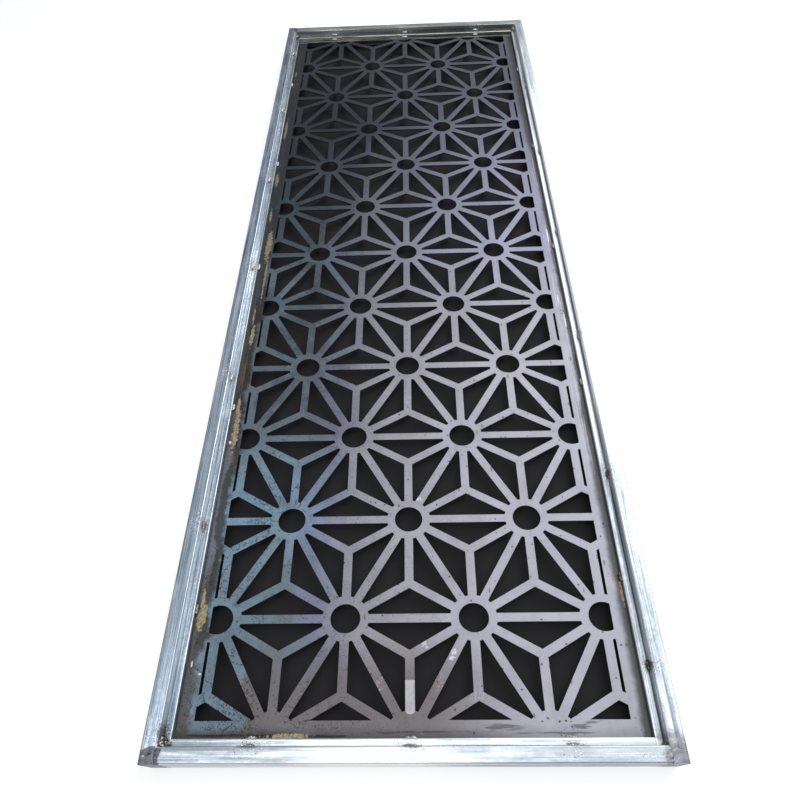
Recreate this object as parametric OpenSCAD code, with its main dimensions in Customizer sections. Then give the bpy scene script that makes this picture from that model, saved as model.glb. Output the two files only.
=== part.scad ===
// Laser cut metal screen: a steel sheet with a hemp leaf lattice, tacked inside a square bead
// that is welded into a frame of galvanised box tube. It lies face up, with its long side along Y.

/* [Frame] */
// Overall width across both stiles
overall_w = 792; // [450:2:1400]
// Overall length of the stiles with their end plates
overall_l = 2294; // [800:2:3000]
// Face of the box tube, seen from the front
tube_face = 25; // [20:1:40]
// Depth of the box tube, from front to back
tube_depth = 50; // [46:1:80]
// Wall of the box tube
tube_wall = 1.4; // [1:0.1:2]
// Outside corner radius of the box tube
tube_radius = 3; // [2.5:0.5:5]
// Thickness of the plates that close the stile ends
end_plate_t = 2; // [1:0.5:4]

/* [Bead] */
// Side of the square bead tube
bead_size = 12; // [10:1:18]
// Wall of the bead tube
bead_wall = 1.2; // [0.8:0.1:1.5]
// Outside corner radius of the bead tube
bead_radius = 2; // [2:0.5:3]
// How deep the bead lies below the front of the frame
bead_setback = 16; // [8:1:24]

/* [Sheet] */
// Thickness of the laser cut sheet
sheet_t = 3; // [1.5:0.5:5]
// Clearance between the edge of the sheet and the bead
sheet_clearance = 0.5; // [0.3:0.1:0.8]
// Plain border between the bead and the lattice, at the left and at the right
side_border = 27; // [10:1:80]
// Plain border below the lattice
bottom_border = 26; // [10:1:80]
// Plain border above the lattice
top_border = 13; // [10:1:80]

/* [Lattice] */
// Distance between neighbouring hubs
hub_pitch = 213; // [150:1:320]
// Width of every bar
bar_w = 15; // [8:1:18]
// Diameter of a hub, where the twelve bars part
hub_d = 78; // [72:1:100]
// Diameter of the round hole in a hub
hole_d = 50; // [20:1:60]
// Distance from the lower edge of the lattice down to its first row of hubs
first_row_drop = 25; // [0:1:120]
// Cuts that would reach less than this into the lattice are left out
least_cut = 3; // [2:1:10]

/* [Welds] */
// Leg of the tack welds and of the upright welds in the corners
tack_leg = 4; // [3:0.5:5]
// Length of a tack weld
tack_l = 16; // [10:1:40]
// Distance between the tacks that hold the bead to a stile
bead_tack_pitch = 350; // [200:10:600]
// Distance from the bottom rail to the first bead tack on the left stile
left_bead_tack_start = 368; // [60:1:400]
// Distance from the bottom rail to the first bead tack on the right stile
right_bead_tack_start = 115; // [60:1:400]
// Distance between the tacks that hold the sheet to a side bead
sheet_tack_pitch = 430; // [200:10:600]
// Distance from the bottom rail to the first sheet tack on the left
left_sheet_tack_start = 215; // [60:1:400]
// Distance from the bottom rail to the first sheet tack on the right
right_sheet_tack_start = 265; // [60:1:400]
// Number of tacks along each rail
rail_tacks = 3; // [2:1:6]
// Height of the weld lump on a corner of the bead
lump_h = 3; // [2:0.5:4]

/* [Hidden] */

round_fn = 48;
galvanised = "#b9c6d0";
mill_scale = "#7d8590";
weld_metal = "#6f6a64";

// Inside of the frame, and of the bead within it
inner_w = overall_w - 2 * tube_face;
inner_l = overall_l - 2 * tube_face;
bead_inner_w = inner_w - 2 * bead_size;
bead_inner_l = inner_l - 2 * bead_size;
stile_l = overall_l - 2 * end_plate_t;

// Heights above the surface that the screen lies on
bead_top = tube_depth - bead_setback;
bead_bottom = bead_top - bead_size;
sheet_bottom = bead_bottom;
sheet_top = sheet_bottom + sheet_t;

// The part of the sheet that carries the lattice
field_w = bead_inner_w - 2 * side_border;
field_bottom = -bead_inner_l / 2 + bottom_border;
field_top = bead_inner_l / 2 - top_border;
field_l = field_top - field_bottom;

// The lattice: rows of hubs on equal triangles, a hub half a pitch aside in every other row
row_pitch = hub_pitch * sqrt(3) / 2;
centroid_h = hub_pitch / (2 * sqrt(3));
first_row_y = field_bottom - first_row_drop;
last_row = ceil((field_top - first_row_y) / row_pitch);
side_columns = ceil(field_w / 2 / hub_pitch) + 1;

// Length of the flush welds, which stop short of the rounded edges of the rails
flush_weld_l = tube_face - 2 * tube_radius;
// Radius of the ball that gives the lump its round top
lump_r = bead_size / 2;
lump_ball_r = (lump_r * lump_r + lump_h * lump_h) / (2 * lump_h);

// A box section standing on the XY plane, with rounded edges
module section(w, h, r) {
    union() {
        translate([-w / 2 + r, -h / 2]) square([w - 2 * r, h]);
        translate([-w / 2, -h / 2 + r]) square([w, h - 2 * r]);
        for (x = [-1, 1], y = [-1, 1])
            translate([x * (w / 2 - r), y * (h / 2 - r)]) circle(r = r, $fn = round_fn);
    }
}

// A tube along Z, centred on its length
module tube(w, h, r, wall, l) {
    linear_extrude(l, center = true)
        difference() {
            section(w, h, r);
            section(w - 2 * wall, h - 2 * wall, r - wall);
        }
}

module along_y() rotate([90, 0, 0]) children();
module along_x() rotate([90, 0, 90]) children();

module stile(side) {
    color(galvanised)
        translate([side * (overall_w - tube_face) / 2, 0, tube_depth / 2])
            along_y() tube(tube_face, tube_depth, tube_radius, tube_wall, stile_l);
}

module rail(end) {
    color(galvanised)
        translate([0, end * (overall_l - tube_face) / 2, tube_depth / 2])
            along_x() tube(tube_face, tube_depth, tube_radius, tube_wall, inner_w);
}

module end_plate(side, end) {
    color(galvanised)
        translate([side * (overall_w - tube_face) / 2, end * (overall_l - end_plate_t) / 2, tube_depth / 2])
            along_y() linear_extrude(end_plate_t, center = true)
                section(tube_face, tube_depth, tube_radius);
}

module side_bead(side) {
    color(galvanised)
        translate([side * (inner_w - bead_size) / 2, 0, bead_bottom + bead_size / 2])
            along_y() tube(bead_size, bead_size, bead_radius, bead_wall, inner_l);
}

module end_bead(end) {
    color(galvanised)
        translate([0, end * (inner_l - bead_size) / 2, bead_bottom + bead_size / 2])
            along_x() tube(bead_size, bead_size, bead_radius, bead_wall, bead_inner_w);
}

// Where the hubs of a row lie
function hub_x(row, column) = (column + (row % 2) / 2) * hub_pitch;
function row_y(row) = first_row_y + row * row_pitch;

// A cut is kept if the box round it reaches far enough into the lattice field
function reaches(x, y, half_w, half_h) =
    abs(x) - half_w < field_w / 2 - least_cut
    && y + half_h > field_bottom + least_cut
    && y - half_h < field_top - least_cut;

// One opening: the flat triangle between two hubs and the centroid above their middle,
// drawn in by half a bar on each side and cut short at both hubs
module opening() {
    lead = asin(bar_w / hub_d);
    tip = [for (a = [lead, 30 - lead]) [hub_d / 2 * cos(a), hub_d / 2 * sin(a)]];
    apex = [hub_pitch / 2, centroid_h - bar_w / 2 / cos(30)];
    far_tip = [for (i = [1, 0]) [hub_pitch - tip[i][0], tip[i][1]]];
    translate([-hub_pitch / 2, -centroid_h])
        polygon(concat([tip[0], tip[1], apex], far_tip));
}

// The three openings of the triangle whose centroid is at the origin
module triangle_openings(turn) {
    for (a = [0, 120, 240]) rotate(turn + a) opening();
}

module lattice_openings() {
    for (row = [-1 : last_row], column = [-side_columns : side_columns]) {
        x = hub_x(abs(row), column);
        y = row_y(row);
        if (reaches(x + hub_pitch / 2, y + row_pitch / 2, hub_pitch / 2, row_pitch / 2))
            translate([x + hub_pitch / 2, y + centroid_h]) triangle_openings(0);
        if (reaches(x, y + row_pitch / 2, hub_pitch / 2, row_pitch / 2))
            translate([x, y + row_pitch - centroid_h]) triangle_openings(180);
    }
}

module hub_holes() {
    for (row = [0 : last_row], column = [-side_columns : side_columns])
        if (reaches(hub_x(row, column), row_y(row), hole_d / 2, hole_d / 2))
            translate([hub_x(row, column), row_y(row)]) circle(d = hole_d, $fn = round_fn);
}

module laser_cut_sheet() {
    color(mill_scale)
        translate([0, 0, sheet_bottom])
            linear_extrude(sheet_t)
                difference() {
                    square([bead_inner_w - 2 * sheet_clearance, bead_inner_l - 2 * sheet_clearance], center = true);
                    intersection() {
                        translate([-field_w / 2, field_bottom]) square([field_w, field_l]);
                        union() {
                            lattice_openings();
                            hub_holes();
                        }
                    }
                }
}

// A tack in an inside corner: the corner runs along Y, with its metal at -X and below
module tack() {
    intersection() {
        union() {
            along_y() cylinder(r = tack_leg, h = tack_l - 2 * tack_leg, center = true, $fn = round_fn);
            for (end = [-1, 1])
                translate([0, end * (tack_l / 2 - tack_leg), 0]) sphere(r = tack_leg, $fn = round_fn);
        }
        translate([0, -tack_l / 2, 0]) cube([tack_leg, tack_l, tack_leg]);
    }
}

// Tacks along the left or the right, in the corner at the given half width and height
module side_tacks(side, half_w, z, start, pitch) {
    color(weld_metal)
        for (y = [-inner_l / 2 + start : pitch : inner_l / 2 - bead_size - 2 * tack_l])
            translate([side * half_w, y, z])
                mirror([side > 0 ? 1 : 0, 0, 0]) tack();
}

// Tacks spaced evenly along the bottom or the top
module end_tacks(end, half_l, z) {
    spacing = bead_inner_w / rail_tacks;
    color(weld_metal)
        for (i = [0 : rail_tacks - 1])
            translate([(i + 0.5) * spacing - bead_inner_w / 2, end * half_l, z])
                rotate([0, 0, -end * 90]) tack();
}

// The flush fill between the rounded edge of a stile and the end of a rail, along Y
module flush_weld() {
    along_y() linear_extrude(flush_weld_l, center = true)
        difference() {
            translate([0, -tube_radius]) square(tube_radius);
            translate([tube_radius, -tube_radius]) circle(r = tube_radius, $fn = round_fn);
        }
}

// The upright weld in the inside corner, from one height to another
module upright_weld(from, to) {
    translate([0, 0, from])
        intersection() {
            cylinder(r = tack_leg, h = to - from, $fn = round_fn);
            translate([-tack_leg, -tack_leg, 0]) cube([tack_leg, tack_leg, to - from]);
        }
}

// The lump over the joint of two beads
module lump() {
    intersection() {
        translate([0, 0, lump_h - lump_ball_r]) sphere(r = lump_ball_r, $fn = round_fn);
        translate([-lump_r, -lump_r, 0]) cube([2 * lump_r, 2 * lump_r, lump_h]);
    }
}

// All welds of the top right corner, mirrored to the others
module corner_weld(side, end) {
    color(weld_metal)
        mirror([side < 0 ? 1 : 0, 0, 0]) mirror([0, end < 0 ? 1 : 0, 0]) {
            translate([inner_w / 2, (overall_l - tube_face) / 2, tube_depth]) flush_weld();
            translate([inner_w / 2, (overall_l - tube_face) / 2, 0]) mirror([0, 0, 1]) flush_weld();
            translate([inner_w / 2, inner_l / 2, 0]) upright_weld(bead_top, tube_depth - tube_radius);
            translate([inner_w / 2, inner_l / 2, 0]) upright_weld(tube_radius, bead_bottom);
            translate([bead_inner_w / 2, bead_inner_l / 2 + lump_r, bead_top]) lump();
        }
}

stile(-1);  // left_stile
stile(1);  // right_stile
rail(-1);  // bottom_rail
rail(1);  // top_rail
end_plate(-1, -1);  // end_plate_bottom_left
end_plate(1, -1);  // end_plate_bottom_right
end_plate(-1, 1);  // end_plate_top_left
end_plate(1, 1);  // end_plate_top_right
side_bead(-1);  // left_bead
side_bead(1);  // right_bead
end_bead(-1);  // bottom_bead
end_bead(1);  // top_bead
laser_cut_sheet();
corner_weld(-1, -1);  // corner_weld_bottom_left
corner_weld(1, -1);  // corner_weld_bottom_right
corner_weld(-1, 1);  // corner_weld_top_left
corner_weld(1, 1);  // corner_weld_top_right
side_tacks(-1, inner_w / 2, bead_top, left_bead_tack_start, bead_tack_pitch);  // bead_tacks_left
side_tacks(1, inner_w / 2, bead_top, right_bead_tack_start, bead_tack_pitch);  // bead_tacks_right
end_tacks(-1, inner_l / 2, bead_top);  // bead_tacks_bottom
end_tacks(1, inner_l / 2, bead_top);  // bead_tacks_top
side_tacks(-1, bead_inner_w / 2, sheet_top, left_sheet_tack_start, sheet_tack_pitch);  // sheet_tacks_left
side_tacks(1, bead_inner_w / 2, sheet_top, right_sheet_tack_start, sheet_tack_pitch);  // sheet_tacks_right
end_tacks(-1, bead_inner_l / 2, sheet_top);  // sheet_tacks_bottom
end_tacks(1, bead_inner_l / 2, sheet_top);  // sheet_tacks_top
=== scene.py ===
import math

import bpy
from mathutils import Matrix, Vector


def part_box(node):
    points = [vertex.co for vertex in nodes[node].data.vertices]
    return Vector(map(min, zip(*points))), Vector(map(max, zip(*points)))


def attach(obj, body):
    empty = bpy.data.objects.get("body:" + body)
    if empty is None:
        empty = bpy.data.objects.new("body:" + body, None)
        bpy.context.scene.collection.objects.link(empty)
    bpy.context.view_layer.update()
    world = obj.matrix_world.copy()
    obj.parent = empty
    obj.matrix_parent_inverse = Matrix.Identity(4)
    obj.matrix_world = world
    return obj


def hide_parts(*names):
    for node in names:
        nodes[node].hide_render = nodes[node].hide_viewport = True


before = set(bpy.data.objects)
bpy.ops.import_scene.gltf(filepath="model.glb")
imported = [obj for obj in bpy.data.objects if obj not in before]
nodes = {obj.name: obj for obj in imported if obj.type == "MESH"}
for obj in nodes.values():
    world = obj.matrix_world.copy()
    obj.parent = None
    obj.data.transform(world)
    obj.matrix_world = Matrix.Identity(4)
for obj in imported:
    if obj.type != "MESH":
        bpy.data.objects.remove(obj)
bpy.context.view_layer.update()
scene = bpy.context.scene
scene.view_settings.view_transform = "Standard"
print("frame loaded,", len(nodes), "nodes")

# where the metal of the screen lies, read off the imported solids
screen = {
    "sideX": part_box("right_stile")[1].x,
    "endY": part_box("end_plate_top_right")[1].y,
    "front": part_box("right_stile")[1].z,
    "jointX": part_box("right_stile")[0].x,  # where the bead meets the stile
    "jointY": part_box("top_rail")[0].y,
    "beadX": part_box("right_bead")[0].x,  # where the sheet meets the bead
    "beadY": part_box("top_bead")[0].y,
    "beadFront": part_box("right_bead")[1].z,
    "beadBack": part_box("right_bead")[0].z,
    "sheetFront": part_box("laser_cut_sheet")[1].z,
}

# ---- camera

photoView = {
    "place": (0.0123, -1.2157, 0.9417),
    "right": (0.99954, 0.00032, -0.03031),
    "up": (0.01458, 0.87158, 0.49004),
    "lens": 25.57,
    "shift": 0.125,
}


def makeCamera(view):
    data = bpy.data.cameras.new("photoCamera")
    data.sensor_width = 36.0
    data.lens = view["lens"]
    data.shift_y = view["shift"]
    data.clip_start = 0.02
    data.clip_end = 60.0
    camera = bpy.data.objects.new("photoCamera", data)
    scene.collection.objects.link(camera)
    right = Vector(view["right"]).normalized()
    back = right.cross(Vector(view["up"])).normalized()
    up = back.cross(right)
    turn = Matrix((right, up, back)).transposed()
    camera.matrix_world = Matrix.Translation(view["place"]) @ turn.to_4x4()
    scene.camera = camera


makeCamera(photoView)
print("camera placed")

# ---- node helpers


class Wire:  # the output of a node; arithmetic on it adds math nodes to its tree
    def __init__(self, tree, socket):
        self.tree, self.socket = tree, socket
        self.wide = socket.type in ("VECTOR", "RGBA")

    def __add__(self, other):
        return calc("ADD", self, other)

    def __sub__(self, other):
        return calc("SUBTRACT", self, other)

    def __rsub__(self, other):
        return calc("SUBTRACT", other, self)

    def __mul__(self, other):
        return calc("MULTIPLY", self, other)

    def __truediv__(self, other):
        return calc("DIVIDE", self, other)

    def __lt__(self, other):
        return calc("LESS_THAN", self, other)

    def __gt__(self, other):
        return calc("GREATER_THAN", self, other)

    def __abs__(self):
        return calc("ABSOLUTE", self)

    __radd__, __rmul__ = __add__, __mul__


def feed(made, inputs):
    for name, value in inputs.items():
        if isinstance(value, Wire):
            value.tree.links.new(value.socket, made.inputs[name])
        else:
            made.inputs[name].default_value = value


def put(tree, kind, inputs=None, **settings):
    made = tree.nodes.new(kind)
    for name, value in settings.items():
        setattr(made, name, value)
    feed(made, inputs or {})
    return made


def take(tree, kind, inputs=None, pick=0, **settings):
    return Wire(tree, put(tree, kind, inputs, **settings).outputs[pick])


def treeOf(*values):
    return next(value.tree for value in values if isinstance(value, Wire))


def calc(operation, *values):
    wide = any(isinstance(value, tuple) or getattr(value, "wide", False) for value in values)
    kind = "ShaderNodeVectorMath" if wide else "ShaderNodeMath"
    pick = "Value" if operation in ("LENGTH", "DISTANCE") else 0
    return take(treeOf(*values), kind, dict(enumerate(values)), pick, operation=operation)


def either(whole, *masks):
    for mask in masks:
        whole = calc("MAXIMUM", whole, mask)
    return whole


def split(vector):
    made = put(vector.tree, "ShaderNodeSeparateXYZ", {0: vector})
    return [Wire(vector.tree, socket) for socket in made.outputs]


def join(x, y, z=0.0):
    return take(treeOf(x, y, z), "ShaderNodeCombineXYZ", {0: x, 1: y, 2: z})


def noise(place, scale, detail=3.0, roughness=0.55, distortion=0.0, pick=0):
    return take(place.tree, "ShaderNodeTexNoise", {
        "Vector": place, "Scale": scale, "Detail": detail,
        "Roughness": roughness, "Distortion": distortion}, pick)


def jitter(place, scale, detail):
    return noise(place, scale, detail, 0.5, pick="Color") - (0.5, 0.5, 0.5)


def fade(value, start, end, low=0.0, high=1.0, how="SMOOTHSTEP"):
    return take(value.tree, "ShaderNodeMapRange", {
        "Value": value, "From Min": start, "From Max": end, "To Min": low, "To Max": high},
        interpolation_type=how)


def tint(colour, share, tone, how="MIX"):
    under, over = [(*c, 1.0) if isinstance(c, tuple) else c for c in (colour, tone)]
    return take(treeOf(colour, share, tone), "ShaderNodeMix", {0: share, 6: under, 7: over}, 2,
                data_type="RGBA", blend_type=how)


def ramp(factor, stops):
    made = put(factor.tree, "ShaderNodeValToRGB", {"Fac": factor})
    points = made.color_ramp.elements
    while len(points) < len(stops):
        points.new(0.5)
    for point, (place, colour) in zip(points, stops):
        point.position = place
        point.color = (*colour, 1.0)
    return Wire(factor.tree, made.outputs["Color"])


# tools that read the regions, noises and tones of a look at a place
def readLook(look, place):
    axes = dict(zip("xyz", split(place)))

    def within(region):
        masks = [fade(axes[axis], *span) for axis, *span in look["regions"][region]]
        whole = masks[0]
        for mask in masks[1:]:
            whole = whole * mask
        return whole

    def grain(name, where=place):
        return noise(where, *look["noises"][name])

    coats = []

    # lays one more coat, in a tone of the look or in a colour of its own
    def cover(mask, tone, how="MIX"):
        if tone in look["shares"]:
            mask = mask * look["shares"][tone]
        coats.append(tint(coats[-1], mask, look[tone] if isinstance(tone, str) else tone, how))

    return (*axes.values(), within, grain, coats, cover)


def startMaterial(name, fixed=None):
    material = bpy.data.materials.new(name)
    material.use_nodes = True
    tree = material.node_tree
    tree.nodes.clear()
    shader = put(tree, "ShaderNodeBsdfPrincipled", fixed)
    put(tree, "ShaderNodeOutputMaterial", {"Surface": Wire(tree, shader.outputs[0])})
    return material, shader, take(tree, "ShaderNodeTexCoord", pick="Object")


def surface(shader, colour, roughness, height, depth, **others):
    bump = take(colour.tree, "ShaderNodeBump", {"Height": height, "Strength": 0.6, "Distance": depth})
    feed(shader, {"Base Color": colour, "Roughness": roughness, "Normal": bump, **others})


# ---- floor and light

studio = {
    "floorTone": (0.36, 0.36, 0.365),
    # the dark floor inside the frame is painted shade under the screen
    "paintedShadeTone": (0.021, 0.021, 0.023),
    "floorSize": 30.0,
    "floorGlow": 0.7,
    "skyTone": (0.95, 0.97, 1.0),
    "skyLevel": 0.48,
    "horizonLevel": 0.95,
    "horizonBand": (0.1, 0.34),
    "softboxes": [  # level 1 is white
        {"name": "sideSoftbox", "place": (1.6, 2.475, 2.5), "size": (2.3, 6.65), "level": 2.15},
        {"name": "nearSoftbox", "place": (-0.525, -1.215, 2.5), "size": (2.55, 1.07), "level": 2.0},
    ],
}


def makeFloor(look):
    half = look["floorSize"]
    mesh = bpy.data.meshes.new("studioFloor")
    corners = [(-half, -half, 0), (half, -half, 0), (half, half, 0), (-half, half, 0)]
    mesh.from_pydata(corners, [], [(0, 1, 2, 3)])
    floor = bpy.data.objects.new("studioFloor", mesh)
    scene.collection.objects.link(floor)
    floorPaint, shader, place = startMaterial("floorPaint", {
        "Roughness": 0.9, "Specular IOR Level": 0.1, "Emission Color": (1.0, 1.0, 1.0, 1.0)})
    # inside the frame, from under the tubes on, the floor is dark as painted shade under the screen and
    # doesn't glow
    x, y, _ = split(abs(place))
    outside = either(x > (screen["sideX"] + screen["jointX"]) / 2,
                     y > (screen["endY"] + screen["jointY"]) / 2)
    rays = put(place.tree, "ShaderNodeLightPath").outputs
    seen = either(*(Wire(place.tree, rays["Is " + kind + " Ray"])
                    for kind in ("Camera", "Glossy", "Transmission")))
    feed(shader, {"Base Color": tint(look["paintedShadeTone"], outside, look["floorTone"]),
                  "Emission Strength": outside * seen * look["floorGlow"]})
    mesh.materials.append(floorPaint)


def makeLight(look):
    world = bpy.data.worlds.new("studioSky")
    scene.world = world
    world.use_nodes = True
    tree = world.node_tree
    tree.nodes.clear()
    height = split(take(tree, "ShaderNodeTexCoord", pick="Generated"))[2]
    level = fade(height, *look["horizonBand"], look["horizonLevel"], look["skyLevel"])
    sky = take(tree, "ShaderNodeBackground", {"Color": (*look["skyTone"], 1.0), "Strength": level})
    put(tree, "ShaderNodeOutputWorld", {"Surface": sky})
    for box in look["softboxes"]:
        lamp = bpy.data.lights.new(box["name"], "AREA")
        lamp.shape = "RECTANGLE"
        lamp.size, lamp.size_y = box["size"]
        lamp.energy = box["level"] * lamp.size * lamp.size_y * 4
        softbox = bpy.data.objects.new(box["name"], lamp)
        scene.collection.objects.link(softbox)
        softbox.location = box["place"]
        softbox.visible_camera = False


makeFloor(studio)
makeLight(studio)
print("floor and light made")

# ---- where the welds are


# the middle of each weld in a node, in order along an axis
def weldCentres(nodeName, axis, apart=0.02):
    places = sorted((v.co.copy() for v in nodes[nodeName].data.vertices), key=lambda p: p[axis])
    groups = [[places[0]]]
    for place in places[1:]:
        if place[axis] - groups[-1][-1][axis] > apart:
            groups.append([])
        groups[-1].append(place)
    lows = [Vector([min(p[i] for p in g) for i in range(3)]) for g in groups]
    highs = [Vector([max(p[i] for p in g) for i in range(3)]) for g in groups]
    return [(a + b) / 2 for a, b in zip(lows, highs)]


tacks = {name: weldCentres(name, 1 if name.endswith(("left", "right")) else 0)
         for name in nodes if "tacks" in name}
tackEdges = {"bead": (screen["jointX"], screen["jointY"]), "sheet": (screen["beadX"], screen["beadY"])}


# distance to the nearest tack of bead or sheet, squeezed along the edge
def toTacks(x, y, family, squeeze=0.55):
    edgeX, edgeY = tackEdges[family]
    left, right = tacks[family + "_tacks_left"], tacks[family + "_tacks_right"]
    top = tacks["bead_tacks_top"]

    def beside(place, first, pitch):
        steps = (place - first) / pitch
        return (steps - calc("ROUND", steps)) * (pitch * squeeze)

    first = fade(x > 0.0, 0.0, 1.0, left[0].y, right[0].y)
    side = join(beside(y, first, left[1].y - left[0].y), abs(x) - edgeX)
    end = join(beside(x, 0.0, top[1].x - top[0].x), abs(y) - edgeY)
    return calc("MINIMUM", calc("LENGTH", side), calc("LENGTH", end))


# ---- galvanised tube

galvanisedLook = {
    "dark": (0.15, 0.2, 0.25),
    "middle": (0.315, 0.385, 0.45),
    "pale": (0.53, 0.595, 0.645),
    "zinc": (0.86, 0.885, 0.905),
    "spangle": (0.3, 0.36, 0.42),
    "bloom": (0.8, 0.84, 0.86),
    # the rounded edges' tone is a painted highlight
    "rubbed": (0.86, 0.88, 0.9),
    # darkening of the far end: painted shade with some dirt
    "farDirt": (0.56, 0.58, 0.57),
    "farWarmth": (1.06, 1.0, 0.9),
    "farStreak": (0.09, 0.085, 0.07),
    "evened": (0.65, 0.695, 0.72),
    # painted shade on the near rail
    "dulled": (0.69, 0.715, 0.74),
    # whitened inner walls: a painted highlight
    "cleanWall": (0.93, 0.95, 0.97),
    # painted shade at the foot of the right inner wall
    "wallFoot": (0.045, 0.095, 0.185),
    "leftTint": (0.84, 0.91, 1.0),
    "edgeRust": (0.33, 0.26, 0.16),
    "straw": (0.2, 0.15, 0.095),
    "scorch": (0.05, 0.04, 0.034),
    "soot": (0.11, 0.11, 0.115),
    "whitened": (0.78, 0.79, 0.8),
    # dirt and painted shade in the creases
    "grime": (0.07, 0.07, 0.058),
    "footBrown": (0.085, 0.062, 0.04),
    "groundDark": (0.11, 0.112, 0.128),
    "ground": (0.215, 0.215, 0.24),
    "groundPale": (0.33, 0.325, 0.355),
    "groundLeft": (0.43, 0.46, 0.52),
    "metallic": 0.9,
    "dustyMetallic": 0.1,
    "bumpDepth": 0.0006,
    "spangleScale": 210.0,
    "stretch": {"drawn": 0.02, "flowing": 0.25, "line": 0.01},  # along the tube
    # how fully each mark covers the zinc
    "shares": {
        "bloom": 0.45, "rubbed": 0.75, "edgeRust": 0.85, "cleanWall": 0.85, "grime": 0.72,
        "footBrown": 0.55, "wallFoot": 0.9, "soot": 0.55, "straw": 0.5, "whitened": 0.75,
        "scorch": 0.88, "ground": 0.88,
    },
    # scale, detail, roughness and distortion
    "noises": {
        "wide": (95.0, 2.0, 0.5), "fine": (430.0, 3.0, 0.6), "hair": (1500.0, 1.0),
        "cloud": (46.0, 4.0, 0.62), "line": (560.0, 2.0, 0.5), "bloom": (75.0, 5.0, 0.66, 0.4),
        "ripple": (150.0, 5.0, 0.68), "pick": (2.3, 0.0), "flecks": (420.0, 3.0, 0.65),
        "crisp": (340.0, 4.0, 0.7, 0.5), "edge": (38.0, 1.0), "scratch": (800.0, 3.0),
        "smear": (120.0, 4.0, 0.65), "brown": (95.0, 4.0, 0.7), "shiny": (170.0, 4.0, 0.7),
    },
    # where a tone shows: axis, start and end, and its least and most
    "regions": {
        "far": [("y", 0.25, 1.0)], "farLeft": [("x", 0.37, 0.3)],
        "farRight": [("y", 0.65, 1.1, 0.0, 0.9), ("x", 0.3, 0.37)],
        "farRail": [("x", -0.1, 0.25, 0.95, 1.45)], "farBead": [("x", -0.15, 0.25, 0.0, 1.3)],
        "farEnd": [("y", 0.9, 1.1)],
        "blueLeft": [("x", -0.3, -0.36), ("x", -0.3665, -0.3725, 0.45, 1.0)],
        "washed": [("x", 0.3, 0.355), ("y", -0.75, -0.4, 0.15, 0.7), ("y", 0.8, 0.4)],
        "evened": [("x", -0.1, 0.25, 0.3, 0.5)],
        "glint": [("x", -0.2, -0.12), ("x", 0.06, 0.01, 0.0, 0.6)],
        "dullRight": [("x", 0.04, 0.13)], "dullLeft": [("x", -0.22, -0.32, 0.0, 0.45)],
        "rustyLeft": [("y", 0.5, 0.0)], "nearEnd": [("y", -0.4, -0.62)],
        "dustyWall": [("y", 0.95, 0.65), ("y", -0.62, -0.4)],
        "sideJoint": [("y", -0.2, -0.7, 0.35, 1.0)], "endJoint": [("y", -0.5, 0.5, 0.1, 0.6)],
        "sootyFoot": [("y", -0.93, -1.05, 0.12, 0.8)], "cornerShrinks": [("y", 0.0, -0.5, 0.0, 0.008)],
        "picked": [("x", -0.38, -0.2, 0.12, 0.8), ("y", 0.6, 1.1, 1.0, 0.35)],
        "streaked": [("y", -1.04, -1.08)], "scorched": [("y", 0.6, 1.0, 1.0, 0.4)],
        "calmRight": [("y", -0.7, -0.4, 0.0, 0.7)],
        "calmRail": [("x", 0.06, 0.12), ("x", 0.33, 0.3, 0.0, 0.75)],
        "ground": [("y", 0.5, -0.5, 0.45, 1.0)],
    },
}


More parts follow.
